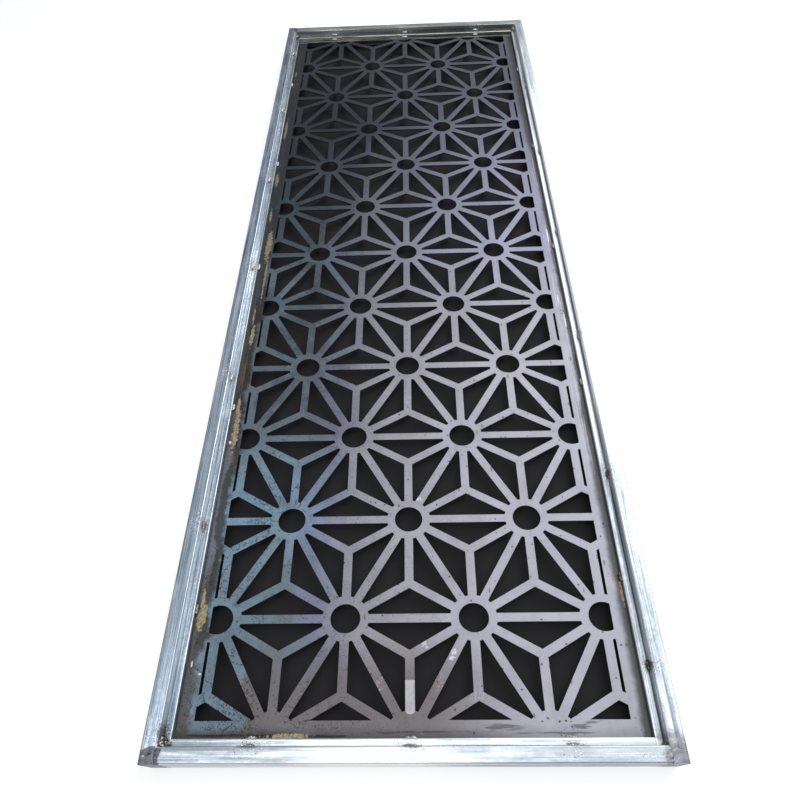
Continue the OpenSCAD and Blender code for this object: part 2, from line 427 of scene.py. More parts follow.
def galvanisedTube(name, along, look):
    material, shader, place = startMaterial(name)
    x, y, z, within, grain, coats, cover = readLook(look, place)

    def stretched(kind):
        return place * tuple(look["stretch"][kind] if axis == along else 1.0 for axis in "xyz")

    drawn, flowing = stretched("drawn"), stretched("flowing")
    wide, fine, hair = grain("wide", drawn), grain("fine", drawn), grain("hair", drawn)
    cloud = grain("cloud", flowing)
    tone = wide * 0.44 + fine * 0.38 + cloud * 0.18
    coats.append(ramp(tone, [
        (0.39, look["dark"]), (0.47, look["middle"]), (0.54, look["pale"]), (0.61, look["zinc"])]))
    # crisp drawing lines, light and dark, then the spangle
    line = grain("line", stretched("line"))
    cover(fade(line, 0.56, 0.62, 0.0, 0.55), "zinc")
    cover(fade(line, 0.44, 0.38, 0.0, 0.45), "dark")
    crystals = take(place.tree, "ShaderNodeTexVoronoi", {
        "Vector": place, "Scale": look["spangleScale"]}, "Color")
    spangle = take(place.tree, "ShaderNodeSeparateColor", {0: crystals})
    cover(fade(spangle, 0.0, 1.0, 0.0, 0.22), "spangle", "MULTIPLY")
    roughness = fade(tone, 0.38, 0.64, 0.44, 0.22) + spangle * 0.07
    # white bloom in the zinc, and the rounded edges lightened as a painted highlight
    bloom = fade(grain("bloom", flowing), 0.56, 0.68)
    cover(bloom, "bloom")
    facingX, facingY, facingZ = split(abs(take(place.tree, "ShaderNodeNewGeometry", pick="Normal")))
    flat = either(facingX, facingY, facingZ)
    rubbed = fade(flat, 0.985, 0.9) * fade(wide, 0.34, 0.52, 0.35, 1.0)
    cover(rubbed, "rubbed")
    roughness = roughness - rubbed * 0.1
    # painted shade with some dirt at the far end, each side as bright as the sky makes it
    onRight = x > 0.0
    if along == "y":
        farShade = within("far") * within("farLeft") + within("farRight")
    else:
        onTube = y > screen["jointY"]
        farShade = within("far") * (onTube * within("farRail") + (1.0 - onTube) * within("farBead"))
    cover(farShade * fade(cloud, 0.36, 0.6, 1.0, 0.7), "farDirt", "MULTIPLY")
    if along == "x":
        farEnd = within("farEnd")
        cover(farEnd, "farWarmth", "MULTIPLY")
        cover(fade(line, 0.485, 0.43, 0.0, 0.65) * farEnd, "farStreak")
    onNearRail, onNearTube = y < 0.01 - screen["jointY"], y < 0.001 - screen["jointY"]
    cover(within("blueLeft"), "leftTint", "MULTIPLY")
    # a painted highlight down the middle of the right stile
    cover(within("washed"), "zinc")
    cover(within("evened") * onNearRail, "evened")
    cover(within("glint") * onNearRail, "zinc")
    # painted shade on the right and left ends of the near rail
    cover(within("dullRight") * onNearTube, "dulled", "MULTIPLY")
    cover(within("dullLeft") * onNearRail, "dulled", "MULTIPLY")
    front, beadFront, left = screen["front"], screen["beadFront"], -screen["sideX"]
    rusty = fade(x, left + 0.0034, left + 0.0016) * within("rustyLeft")
    rusty = rusty * fade(z, front - 0.014, front - 0.004)
    cover(rusty, "edgeRust")
    # the inner walls lightened as a painted highlight, and the right one dusty, with painted shade at its
    # foot
    folded = abs(place)
    sideX, endY, _ = split(folded)
    jointX, jointY = screen["jointX"], screen["jointY"]
    nearX, nearY = abs(sideX - jointX), abs(endY - jointY)
    nearRight = within("nearEnd") * onRight
    innerWall = (nearX < 0.0006) * fade(facingX, 0.8, 0.95) * (1.0 - nearRight)
    cover(innerWall, "cleanWall")
    roundedEdge = (nearX < 0.0034) * (z > front - 0.0034) * fade(facingX, 0.15, 0.4)
    dustyWall = either(innerWall, roundedEdge) * onRight * within("dustyWall")
    # dirt and painted shade in the joint between bead and tube, and on the bead where the sheet meets it
    sideJoint = fade(nearX, nearRight * 0.0006 + 0.0011, 0.0004) * (endY < jointY + 0.002)
    sideJoint = sideJoint * within("sideJoint") * (onRight * 0.5 + 0.5) * (1.0 - dustyWall)
    endJoint = fade(nearY, 0.002, 0.0004) * (sideX < jointX + 0.002) * within("endJoint")
    joint = either(sideJoint, endJoint) * fade(z, front - 0.001, beadFront)
    foot = (sideX < jointX - 0.01) * (endY < jointY - 0.01)
    foot = foot * fade(z, screen["sheetFront"] + 0.008, screen["sheetFront"] + 0.001)
    foot = foot * either(onRight, within("sootyFoot"))
    grime = either(joint, foot) * fade(cloud, 0.36, 0.6, 0.35, 0.95)
    cover(grime, "grime")
    cover(foot * onRight, "footBrown")
    # painted shade at the foot of the right inner wall, where it meets the bead
    wallFoot = dustyWall * fade(z, beadFront + 0.0085, beadFront + 0.0055)
    cover(wallFoot, "wallFoot")
    # browned, sooted or whitened metal round the welds, each to its own degree
    ripple = (grain("ripple") - 0.5) * 0.024
    toTack = toTacks(x, y, "bead") + ripple
    toStreak = toTacks(x, y, "bead", 0.2) + ripple * 0.35
    toCorner = calc("DISTANCE", folded, (jointX, jointY, beadFront)) + ripple * 1.6
    toCorner = toCorner + onRight * within("cornerShrinks")
    pick = fade(grain("pick"), 0.4, 0.56) * within("picked")
    straw = either(fade(toTack, 0.01, 0.002) * pick * 0.6, fade(toCorner, 0.015, 0.006))
    flecks = fade(grain("flecks"), 0.4, 0.36)
    scorch = either(fade(toTack, 0.005, 0.001) * (pick * 0.6 + 0.25),
                    fade(toStreak, 0.0042, 0.0016, 0.0, 0.75) * within("streaked"),
                    fade(toCorner, 0.009, 0.004), fade(toTack, 0.011, 0.005) * flecks)
    calm = 1.0 - either(onRight * within("calmRight"), onNearRail * within("calmRail"))
    straw, scorch = straw * calm, scorch * within("scorched") * calm
    smoke = fade(toTack, 0.013, 0.004) * fade(cloud, 0.48, 0.6) * (pick * 0.7 + 0.1)
    white = fade(toTack, 0.024, 0.006) * fade(grain("crisp"), 0.53, 0.6) * (1.0 - pick * 0.6)
    facing = z > screen["beadBack"]
    for mark, tone in ((smoke, "soot"), (straw, "straw"), (white, "whitened"), (scorch, "scorch")):
        cover(mark * facing, tone)

    # ground patches on the faces of the corners, narrow and blue on the left, wide on the right
    def leftRight(onLeft, onRight):
        return fade(x, -0.1, 0.1, onLeft, onRight)

    edge = (grain("edge") - 0.5) * 0.022 + ripple * leftRight(0.5, 1.4)
    firstX = leftRight(jointX - 0.0085, jointX - 0.012)
    firstY = leftRight(jointY + 0.0005, jointY - 0.026)
    patch = fade(sideX + edge, firstX, firstX + leftRight(0.002, 0.01))
    patch = patch * fade(endY + edge, firstY, firstY + leftRight(0.002, 0.024)) * within("ground")
    swirl = place + noise(place, 22.0, 1.0, 0.5, pick="Color") * (0.05, 0.05, 0.0)
    scratch = grain("scratch", swirl * (0.25, 1.0, 1.0))
    smear = grain("smear", swirl * (0.6, 1.4, 1.0))
    ground = ramp(scratch * 0.4 + smear * 0.6, [
        (0.36, look["groundDark"]), (0.5, look["ground"]),
        (0.6, look["groundPale"]), (0.68, look["zinc"])])
    ground = tint(ground, leftRight(1.0, 0.0), look["groundLeft"], "MULTIPLY")
    ground = tint(ground, fade(grain("brown", swirl), 0.56, 0.62) * leftRight(0.5, 0.15), look["straw"])
    ground = tint(ground, fade(grain("shiny", swirl), 0.62, 0.66, 0.0, 0.8), look["zinc"])
    cover(patch * look["shares"]["ground"], ground)
    roughness = roughness + scorch * 0.3 + patch * 0.12 + grime * 0.3
    height = wide * 0.6 + fine * 0.5 + hair * 0.25 + patch * scratch * 0.5 + white * 0.6
    metallic = dustyWall * (look["dustyMetallic"] - look["metallic"]) + look["metallic"]
    surface(shader, coats[-1], roughness, height, look["bumpDepth"], Metallic=metallic)
    return material


# ---- mill scale on the sheet

sheetLook = {
    # from the left side to the right, near and far: the scale's own hue, with painted shade darker to the
    # left and much darker at the far end
    "near": [(0.18, (0.142, 0.2, 0.248)), (0.28, (0.182, 0.19, 0.272)), (0.36, (0.285, 0.281, 0.318)),
             (0.6, (0.352, 0.346, 0.404)), (0.95, (0.348, 0.344, 0.404))],
    "far": [(0.18, (0.016, 0.022, 0.031)), (0.29, (0.021, 0.025, 0.036)), (0.38, (0.036, 0.04, 0.053)),
            (0.6, (0.05, 0.054, 0.072)), (0.95, (0.056, 0.06, 0.084))],
    "shades": [(0.36, (0.72, 0.72, 0.73)), (0.5, (1.0, 1.0, 1.0)), (0.64, (1.2, 1.2, 1.21))],
    "crossing": (-0.36, 0.36),
    "darkening": (-0.7, 0.82),
    "clean": (0.18, 0.25, 0.305),
    "earth": (0.15, 0.134, 0.14),
    "earthFar": (0.028, 0.028, 0.03),
    "besideBead": (0.128, 0.128, 0.148),
    "besideBeadNear": (0.085, 0.082, 0.078),
    "besideBeadFar": (0.024, 0.027, 0.033),
    "darkDirt": (0.04, 0.037, 0.034),
    "violet": (0.97, 1.0, 1.13),
    "dull": (0.76, 0.69, 0.68),
    "haze": (0.93, 0.86, 0.76),
    "blue": (1.18, 1.32, 1.4),
    "dim": (0.6, 0.65, 0.74),
    "crack": (0.018, 0.018, 0.02),
    "speckDark": (0.035, 0.028, 0.026),
    "speckRust": (0.19, 0.105, 0.058),
    "speckBrown": (0.105, 0.07, 0.05),
    "bloom": (0.15, 0.095, 0.065),
    # dirt and painted shade along the bead
    "grime": (0.05, 0.047, 0.042),
    "grimeRight": (0.046, 0.052, 0.051),
    "grimeFar": (0.014, 0.013, 0.014),
    "smear": (0.032, 0.032, 0.034),
    "farDirt": (0.25, 0.245, 0.215),
    "brushed": (0.62, 0.6, 0.68),
    "tackBrown": (0.12, 0.092, 0.072),
    "tackBlack": (0.03, 0.026, 0.025),
    "clay": (0.4, 0.335, 0.215),
    "clayDark": (0.19, 0.16, 0.098),
    "clayFar": (0.1, 0.085, 0.055),
    "rust": (0.155, 0.09, 0.042),
    "scuff": (0.52, 0.525, 0.55),
    "scrape": (0.76, 0.76, 0.78),
    "fleck": (0.66, 0.67, 0.7),
    "cut": (0.085, 0.08, 0.078),
    "cutDark": (0.035, 0.032, 0.031),
    "blueRim": -0.262,  # blue lies left of this
    "bumpDepth": 0.0005,
    # how fully each mark covers the scale
    "shares": {
        "clean": 0.6, "bands": 0.88, "cracks": 0.85, "chips": 0.92, "dashes": 0.75, "bloom": 0.3,
        "smear": 0.62, "blackStreaks": 0.88, "rust": 0.75, "stains": 0.92, "scrape": 0.8,
    },
    # scale, detail, roughness and distortion
    "noises": {
        "drift": (4.5, 4.0), "cloud": (14.0, 5.0, 0.6), "bands": (40.0, 3.0), "mottle": (90.0, 4.0, 0.65),
        "grain": (700.0, 3.0, 0.6), "patchy": (8.0, 6.0, 0.6, 0.5), "haze": (11.0, 3.0),
        "broken": (300.0, 3.0, 0.6), "cracks": (19.0, 4.0), "curls": (9.0, 3.0), "curlsBroken": (75.0, 2.0),
        "flakes": (330.0, 5.0, 0.7, 0.3), "pepper": (460.0, 2.0, 0.5), "peppered": (55.0, 2.0),
        "bloom": (33.0, 6.0, 0.7), "wiped": (330.0, 4.0, 0.65), "streaky": (260.0, 4.0, 0.6),
        "brushed": (420.0, 3.0), "ripple": (150.0, 5.0, 0.68), "streak": (520.0, 3.0, 0.65),
        "rubbed": (380.0, 4.0, 0.7), "fleck": (300.0, 4.0, 0.6), "drag": (1700.0, 2.0),
    },
    # where a tone shows: axis, start and end, and its least and most
    "regions": {
        "low": [("y", -0.85, -1.08)], "laterLeft": [("x", -0.1, -0.24, 0.0, 0.07)],
        "laterRight": [("x", 0.05, 0.25), ("y", 0.5, 0.95, -0.06, 0.1)],
        "shaded": [("x", -0.25, 0.05, 1.0, 0.65)], "left": [("x", -0.02, -0.24)],
        "farDown": [("y", -0.955, -1.0)], "lowBand": [("y", -0.93, -1.04), ("x", 0.22, 0.0)],
        "rimEnds": [("y", -1.03, -0.98, 0.0, 0.2)], "besideBeadNear": [("y", -0.78, -0.95)],
        "violet": [("y", -0.25, 0.05), ("y", 1.0, 0.6), ("x", -0.12, 0.05)],
        "dull": [("y", -0.1, -0.26), ("x", -0.08, -0.2)], "haze": [("x", 0.05, -0.2, 0.3, 1.0)],
        "cracks": [("x", 0.0, -0.24, 0.0, 0.8)], "curls": [("x", -0.06, -0.18, 0.0, 0.9)],
        "lowLeft": [("y", -0.96, -1.04), ("x", -0.02, -0.16)], "peppered": [("x", 0.2, -0.1, 0.0, 0.55)],
        "dusty": [("y", -0.84, -1.0), ("x", 0.1, -0.1, 0.0, 0.35)],
        # where dirt and painted shade lie along the bead
        "dirtRight": [("x", 0.2, 0.3, 0.0, 0.9)], "dirtLeft": [("x", -0.2, -0.3, 0.0, 0.55)],
        "lowDirtLeft": [("x", -0.12, -0.2, 0.25, 0.95)], "lowDirtRight": [("x", 0.24, 0.1, 0.25, 0.6)],
        "dirtWidth": [("y", -0.52, -0.45, 0.0185, 0.0105)],
        "farDirtWidth": [("y", 0.15, 0.6, 0.0, 0.013)],
        # a painted shadow line just above the near bead
        "underline": [("x", -0.345, -0.325), ("x", -0.06, -0.14)],
        "grimeRight": [("x", -0.1, 0.2)], "grimeFar": [("y", 0.0, 0.6)],
        "brushed": [("x", 0.332, 0.34), ("y", -0.75, -0.45), ("y", 0.6, 0.25)],
        "browned": [("y", 0.7, 1.0, 1.0, 0.4), ("y", -1.02, -1.09, 1.0, 0.25)],
        "calm": [("x", 0.2, 0.3), ("y", -0.8, -0.45, 0.0, 0.7)],
    },
    # marks with a place of their own: x, y, half width and half length
    "stains": [
        (-0.3475, -0.918, 0.0068, 0.024), (-0.351, -0.892, 0.0028, 0.018), (-0.3462, -0.533, 0.0058, 0.048),
        (-0.349, -0.478, 0.0034, 0.026), (-0.3465, -0.272, 0.0042, 0.03), (-0.35, -0.21, 0.0016, 0.027),
        (-0.3445, 0.034, 0.0062, 0.052), (-0.3405, -0.095, 0.0019, 0.066), (-0.3525, 0.155, 0.0028, 0.022),
        (-0.353, 0.31, 0.004, 0.026), (-0.3535, 0.56, 0.0034, 0.048), (-0.353, 0.885, 0.003, 0.014),
        (-0.188, -1.106, 0.03, 0.0042), (0.3565, -0.887, 0.0026, 0.022),
    ],
    "rusts": [
        (-0.3485, -0.836, 0.0016, 0.04), (-0.3425, -0.602, 0.0034, 0.02), (-0.3475, -1.08, 0.007, 0.0035),
        (-0.349, -0.375, 0.002, 0.07), (0.356, -0.866, 0.0034, 0.016), (0.3545, -0.56, 0.0022, 0.014),
    ],
    "scrapes": [
        (0.3505, 0.045, 0.0014, 0.03), (0.3515, -0.247, 0.0014, 0.024), (0.345, -0.18, 0.0012, 0.015),
        (-0.336, -1.0135, 0.003, 0.0016), (-0.3512, -0.998, 0.0012, 0.006), (-0.353, -0.563, 0.0026, 0.005),
    ],
    "scuffs": [
        (0.048, -1.03, 0.008, 0.026), (0.106, -1.046, 0.014, 0.014), (0.15, -0.93, 0.016, 0.01),
        (0.06, -0.93, 0.01, 0.02), (-0.045, -1.03, 0.01, 0.012), (-0.04, -0.9, 0.016, 0.014),
    ],
    "bluer": [(-0.26, -0.735, 0.15, 0.15)],
    "dimmer": [(-0.1065, 0.552, 0.11, 0.13)],
    "smears": [
        (0.142, -1.0945, 0.034, 0.0046), (0.272, -1.087, 0.015, 0.0032), (0.256, -1.0945, 0.015, 0.0036),
        (0.01, -1.101, 0.08, 0.0022), (0.215, -1.1025, 0.06, 0.0018),
    ],
    "blackStreaks": [
        (-0.292, -1.105, 0.05, 0.0024), (-0.222, -1.1062, 0.036, 0.0032), (-0.13, -1.1068, 0.05, 0.0022),
    ],
    "flecks": [
        (0.023, -0.968, 0.005, 0.0058), (0.072, -0.981, 0.0048, 0.0052), (0.068, -0.9905, 0.0046, 0.0038),
        (0.017, -0.698, 0.0075, 0.0052), (0.028, -0.974, 0.003, 0.003),
    ],
    "cracked": [
        (-0.262, -0.7, 0.032, 0.028), (-0.33, -0.555, 0.018, 0.034), (-0.25, -0.655, 0.016, 0.03),
        (-0.244, -0.287, 0.024, 0.036), (-0.278, -0.073, 0.022, 0.028),
    ],
    "rubbedEnd": {"low": -1.067, "high": -1.024, "radius": 0.0088},  # on the middle bar at the bottom
}


def specks(place, scale, share, widest):
    cells = put(place.tree, "ShaderNodeTexVoronoi", {"Vector": place, "Scale": scale})
    colour = put(place.tree, "ShaderNodeSeparateColor", {0: Wire(place.tree, cells.outputs["Color"])})
    reach = fade(Wire(place.tree, colour.outputs[0]), 1.0 - share, 1.0, 0.0, widest)
    return Wire(place.tree, cells.outputs["Distance"]) < reach, Wire(place.tree, colour.outputs[1])


def cellEdges(place, scale):
    return take(place.tree, "ShaderNodeTexVoronoi", {"Vector": place, "Scale": scale}, "Distance",
                feature="DISTANCE_TO_EDGE")


def millScale(name, look):
    material, shader, place = startMaterial(name, {"IOR": 1.22})
    x, y, z, within, grain, coats, cover = readLook(look, place)
    shares = look["shares"]

    def spotted(marks, ripple, soft):
        masks = []
        for centreX, centreY, wide, long in look[marks]:
            scaled = (place - (centreX, centreY, 0.0)) * (1.0 / wide, 1.0 / long, 0.0)
            masks.append(fade(calc("LENGTH", scaled) + ripple, 1.15, 1.15 - soft))
        return either(*masks)

    flatPlace = place * (1.0, 1.0, 0.3)
    drift = grain("drift") - 0.5
    # the blend from near tones to far ones is painted shade; the marks that follow along darken with it
    across = fade(drift * 0.16 + within("low") * -0.03 + x, *look["crossing"], how="LINEAR")
    later = x * -0.5 + y + within("laterLeft") + within("laterRight")
    along = fade(drift * 0.45 + later, *look["darkening"])
    coats.append(tint(ramp(across, look["near"]), along, ramp(across, look["far"])))
    # clouds, rolling bands and grain
    cloud, mottle, fine = grain("cloud"), grain("mottle"), grain("grain")
    bands = grain("bands", place * (1.0, 0.08, 1.0))
    shade = cloud * 0.42 + bands * 0.22 + mottle * 0.2 + fine * 0.16
    cover(within("shaded"), ramp(shade, look["shades"]), "MULTIPLY")
    # blue clean patches on the left and brown-grey ones along the border, both with sharp rims; the band
    # along the left border is darkened as painted shade beside the bead
    patchy, leftness = grain("patchy"), within("left")
    clean = fade(leftness * 0.1 + patchy, 0.58, 0.592) * leftness * fade(along, 0.75, 0.15)
    cover(clean, "clean")
    sideX, endY, _ = split(abs(place))
    gapX, gapY = screen["beadX"] - sideX, screen["beadY"] - endY
    wander = (mottle * 0.25 + patchy - 0.62) * 0.11
    corner = x + wander - look["blueRim"]
    farDown = within("farDown")
    gapWander = wander * 0.42 + gapX
    strip = gapWander - fade(farDown, 0.0, 1.0, 0.0275, 0.0185) + (mottle - 0.5) * 0.012
    lowBand = within("lowBand") * fade(corner, 0.0, 0.0016)
    leftBand = fade(strip, 0.004, -0.007) * (x < 0.0)
    rim = abs(corner + 0.016) + within("rimEnds")
    cover(lowBand * shares["bands"], tint(look["earth"], along, look["earthFar"]))
    # tones of the left border band: brown-grey scale darkened as painted shade, more at the far end
    bandTone = tint(look["besideBead"], within("besideBeadNear"), look["besideBeadNear"])
    bandTone = tint(bandTone, fade(gapWander, 0.0055, 0.0115) * (1.0 - farDown), look["darkDirt"])
    bandTone = tint(bandTone, fade(along, 0.1, 0.75, 0.0, 0.9), look["besideBeadFar"])
    cover(leftBand * shares["bands"], bandTone)
    # broad changes of tone, and one area dimmed as painted shade where the bars reflect less
    dull = fade(y + wander, -0.62, -0.52) * within("dull")
    haze = fade(grain("haze", place * (1.0, 0.3, 1.0)), 0.53, 0.66, 0.0, 0.8) * within("haze")
    broad = (patchy - 0.5) * 1.5
    for mask, tone in ((within("violet"), "violet"), (dull, "dull"), (haze, "haze"),
                       (spotted("bluer", broad, 0.9), "blue"), (spotted("dimmer", broad, 0.9), "dim")):
        cover(mask, tone, "MULTIPLY")
    # fine black cracks and flakes, thickest at the rims of the patches, and long curls on the blue
    bent = flatPlace + jitter(place, 120.0, 3.0) * (0.014, 0.014, 0.0)
    nearRim = fade(rim, 0.062, 0.02)
    crackZone = either(fade(grain("cracks"), 0.55, 0.62) * within("cracks"), nearRim * 0.9,
                       spotted("cracked", patchy - 0.5, 0.5) * 0.9)
    crack = fade(cellEdges(bent, 160.0), 0.11, 0.06) * fade(grain("broken"), 0.52, 0.56) * crackZone
    curled = fade(grain("curls"), 0.5, 0.56) * within("curls") * fade(grain("curlsBroken"), 0.5, 0.54)
    crack = either(crack, fade(cellEdges(bent, 62.0), 0.042, 0.022) * curled)
    flakes = fade(grain("flakes"), 0.595, 0.615) * crackZone
    cover(either(crack, flakes) * shares["cracks"], "crack")
    # rust specks, chips, pepper and dust, and a faint brown bloom
    nudge = jitter(place, 480.0, 2.0)
    nudged = flatPlace + nudge * (0.0045, 0.0045, 0.0)
    rustTone = tint(look["speckRust"], leftness, look["speckBrown"])
    speck, kind = specks(nudged, 115.0, 0.42, 0.22)
    speckTone = tint(look["speckDark"], fade(kind, 0.25, 0.75), rustTone)
    cover(speck * fade(along, 0.2, 1.0, 0.85, 0.45), speckTone)
    chips = specks(flatPlace + nudge * (0.009, 0.009, 0.0), 250.0, 0.7, 0.46)[0]
    chipped = chips * either(nearRim, crackZone * 0.6)
    cover(chipped * shares["chips"], "crack")
    pepper = fade(grain("pepper", flatPlace), 0.615, 0.64) * fade(grain("peppered"), 0.4, 0.55, 0.25, 1.0)
    cover(pepper * either(within("lowLeft") * 0.85, within("peppered")), "crack")
    dash = specks(nudged * (1.0, 0.3, 1.0), 95.0, 0.3, 0.17)[0]
    cover(dash * shares["dashes"], rustTone)
    dust = specks(nudged, 360.0, 0.22, 0.24)[0]
    cover(dust * (within("dusty") + 0.3), "speckDark")
    bloom = fade(grain("bloom"), 0.62, 0.74) * fade(mottle, 0.45, 0.6)
    cover(bloom, "bloom")
    # dirt and painted shade along the bead, with a painted shadow line above the near bead, and smears and
    # black streaks on the near border
    uneven = (mottle * 0.3 + cloud - 0.65) * 0.012
    besideX, besideY = gapX + uneven, gapY + uneven
    width = within("dirtWidth") + within("farDirtWidth")
    dirtAndShade = either(fade(besideX, width, width * 0.35) * within("dirtRight"),
                  fade(besideX, 0.0045, 0.0005) * within("dirtLeft"),
                  fade(besideY, 0.02, 0.001) * either(within("lowDirtLeft"), within("lowDirtRight")),
                  fade(besideY, 0.0072, 0.0042) * within("underline") * 0.9)
    dirtAndShadeTone = tint(look["grime"], within("grimeRight"), look["grimeRight"])
    cover(dirtAndShade, tint(dirtAndShadeTone, within("grimeFar"), look["grimeFar"]))
    wiped = grain("wiped", place * (0.12, 1.0, 1.0)) - 0.5
    cover(spotted("smears", wiped * 4.0, 0.8), "smear")
    streaked = spotted("blackStreaks", wiped * 3.0, 0.6)
    cover(streaked * shares["blackStreaks"], "crack")
    # olive dirt in streaks along the far border, and pale brush marks along the right one
    streaky = fade(grain("streaky", place * (0.06, 1.0, 1.0)), 0.42, 0.62)
    cover(fade(besideY, 0.02, 0.012) * (y > 0.0) * streaky, "farDirt")
    brushed = fade(grain("brushed", place * (1.0, 0.015, 1.0)), 0.55, 0.66, 0.0, 0.45)
    cover(brushed * within("brushed"), "brushed")
    # scorched tacks, clay coloured stains, rust and pale scuffs
    ripple = grain("ripple") - 0.5
    toTack = toTacks(x, y, "sheet") + ripple * 0.014
    browned = within("browned") * (1.0 - within("calm"))
    cover(fade(toTack, 0.014, 0.005, 0.0, 0.4) * browned, "tackBrown")
    cover(fade(toTack, 0.008, 0.003, 0.0, 0.8) * browned, "tackBlack")
    slant = take(place.tree, "ShaderNodeVectorRotate", {"Vector": place, "Angle": 0.5},
                 rotation_type="Z_AXIS")
    streak = grain("streak", slant * (1.0, 0.22, 1.0))
    stain = spotted("stains", ripple * 3.2, 0.22) * fade(mottle, 0.32, 0.42, 0.55, 1.0)
    clayTone = tint(look["clayDark"], fade(streak, 0.42, 0.56), look["clay"])
    clayTone = tint(clayTone, along * 0.45, look["clayFar"])
    cover(spotted("rusts", ripple * 3.0, 0.8), "rust")
    cover(stain * shares["stains"], clayTone)
    cover(spotted("scrapes", ripple * 2.4, 0.5), "scrape")
    # a paler rounded end on the middle bar at the bottom
    end = look["rubbedEnd"]
    held = calc("MINIMUM", calc("MAXIMUM", y, end["low"]), end["high"] + 0.01)
    toEnd = calc("DISTANCE", place, join(0.0, held, z))
    rubbedEnd = fade(toEnd, end["radius"], end["radius"] - 0.0006)
    rubbedEnd = rubbedEnd * fade(y, end["high"], end["high"] - 0.0008)
    scuffed = either(spotted("scuffs", ripple * 2.0, 0.7) * fade(grain("rubbed"), 0.54, 0.6) * 0.65,
                     rubbedEnd * fade(mottle, 0.34, 0.6, 0.55, 0.8))
    cover(scuffed, "scuff")
    fleck = spotted("flecks", ripple * 3.0, 0.3) * fade(grain("fleck"), 0.42, 0.5, 0.0, 0.8)
    cover(fleck, "fleck")
    # the cut walls of the openings are burnt dark and darkened further as painted shade, with drag lines
    # from front to back
    wall = abs(split(take(place.tree, "ShaderNodeNewGeometry", pick="Normal"))[2]) < 0.5
    drag = grain("drag", place * (1.0, 1.0, 0.12))
    cover(wall, tint(look["cut"], fade(drag, 0.3, 0.7), look["cutDark"]))
    roughness = shade * 0.3 + 0.26
    for mark, change in ((speck, 0.25), (crack, 0.22), (stain, 0.35), (scuffed, 0.15), (clean, -0.06),
                         (either(lowBand, leftBand), 0.1)):
        roughness = roughness + mark * change
    metallic = (wall * 0.5 + 0.2) * (1.0 - either(stain, speck))
    height = mottle * 0.3 + fine * 0.15 + cloud * 0.3 + crack * -0.5 + stain * 0.7
    height = height + stain * streak * 0.8 + wall * drag * 1.2
    surface(shader, coats[-1], roughness, height, look["bumpDepth"], Metallic=metallic)
    return material


# ---- weld metal

weldLook = {  # bare metal shows where a noise is over "covered"
    "dark": (0.026, 0.022, 0.021),
    "slag": (0.075, 0.056, 0.044),
    "bare": (0.52, 0.51, 0.5),
    "rust": (0.12, 0.08, 0.058),
    "covered": 0.585,
}
paleWeldLook = {
    "dark": (0.06, 0.058, 0.06),
    "slag": (0.26, 0.26, 0.27),
    "bare": (0.86, 0.87, 0.88),
    "rust": (0.36, 0.34, 0.31),
    "covered": 0.585,
}
cornerWeldLook = {**weldLook, "covered": 0.535}


def weldMetal(name, look):
    material, shader, place = startMaterial(name, {"Metallic": 0.8})
    lumpy = noise(place, 420.0, 4.0, 0.62)
    grit = noise(place, 1500.0, 3.0, 0.6)
    patch = noise(place, 130.0, 3.0)
    colour = ramp(lumpy, [
        (0.38, look["dark"]), (0.54, look["slag"]), (0.63, look["rust"]), (0.68, look["bare"])])
    colour = tint(colour, fade(patch, 0.54, 0.66, 0.0, 0.4), look["rust"])
    bright = fade(noise(place, 260.0, 3.0, 0.6, 0.6), look["covered"], look["covered"] + 0.05)
    colour = tint(colour, bright * 0.9, look["bare"])
    colour = tint(colour, fade(split(place)[1], -0.7, -0.4, 0.0, 0.55), look["bare"])
    surface(shader, colour, patch * 0.35 + 0.26 - bright * 0.16, lumpy + grit * 0.3, 0.0005)
    return material


def groundMetal(name, look):
    material, shader, place = startMaterial(name, {"Metallic": 0.9})
    scratch = noise(place * (0.2, 1.0, 1.0), 1100.0, 3.0, 0.6, 0.3)
    colour = ramp(scratch, [(0.32, look["groundDark"]), (0.5, look["ground"]), (0.68, look["groundPale"])])
    colour = tint(colour, fade(noise(place, 70.0, 4.0), 0.56, 0.7, 0.0, 0.5), look["straw"])
    colour = tint(colour, fade(split(place)[0], 0.1, -0.1), look["groundLeft"], "MULTIPLY")
    surface(shader, colour, fade(scratch, 0.3, 0.7, 0.46, 0.26), scratch, 0.0003)
    return material


tubeAlongY = galvanisedTube("galvanisedAlongY", "y", galvanisedLook)
tubeAlongX = galvanisedTube("galvanisedAlongX", "x", galvanisedLook)
sheetSteel = millScale("millScaleSteel", sheetLook)
tackMetal = weldMetal("tackWeldMetal", weldLook)
paleTackMetal = weldMetal("paleTackWeldMetal", paleWeldLook)
cornerMetal = weldMetal("cornerWeldMetal", cornerWeldLook)
groundSteel = groundMetal("groundWeldSteel", galvanisedLook)

finishes = {
    tubeAlongY: ["left_stile", "right_stile", "left_bead", "right_bead"],
    tubeAlongX: ["bottom_rail", "top_rail", "bottom_bead", "top_bead", "end_plate_bottom_left",
                 "end_plate_bottom_right", "end_plate_top_left", "end_plate_top_right"],
    sheetSteel: ["laser_cut_sheet"],
}
for material, names in finishes.items():
    for name in names:
        for holder in nodes[name].material_slots:
            holder.material = material
print("metals made")

# ---- welds


def startTree(name, inputs):
    tree = bpy.data.node_groups.new(name, "GeometryNodeTree")
    for title, kind in [("Geometry", "Geometry"), *inputs]:
        tree.interface.new_socket(title, in_out="INPUT", socket_type="NodeSocket" + kind)
    tree.interface.new_socket("Geometry", in_out="OUTPUT", socket_type="NodeSocketGeometry")
    given = {socket.name: Wire(tree, socket) for socket in put(tree, "NodeGroupInput").outputs}
    return tree, given, put(tree, "NodeGroupOutput")


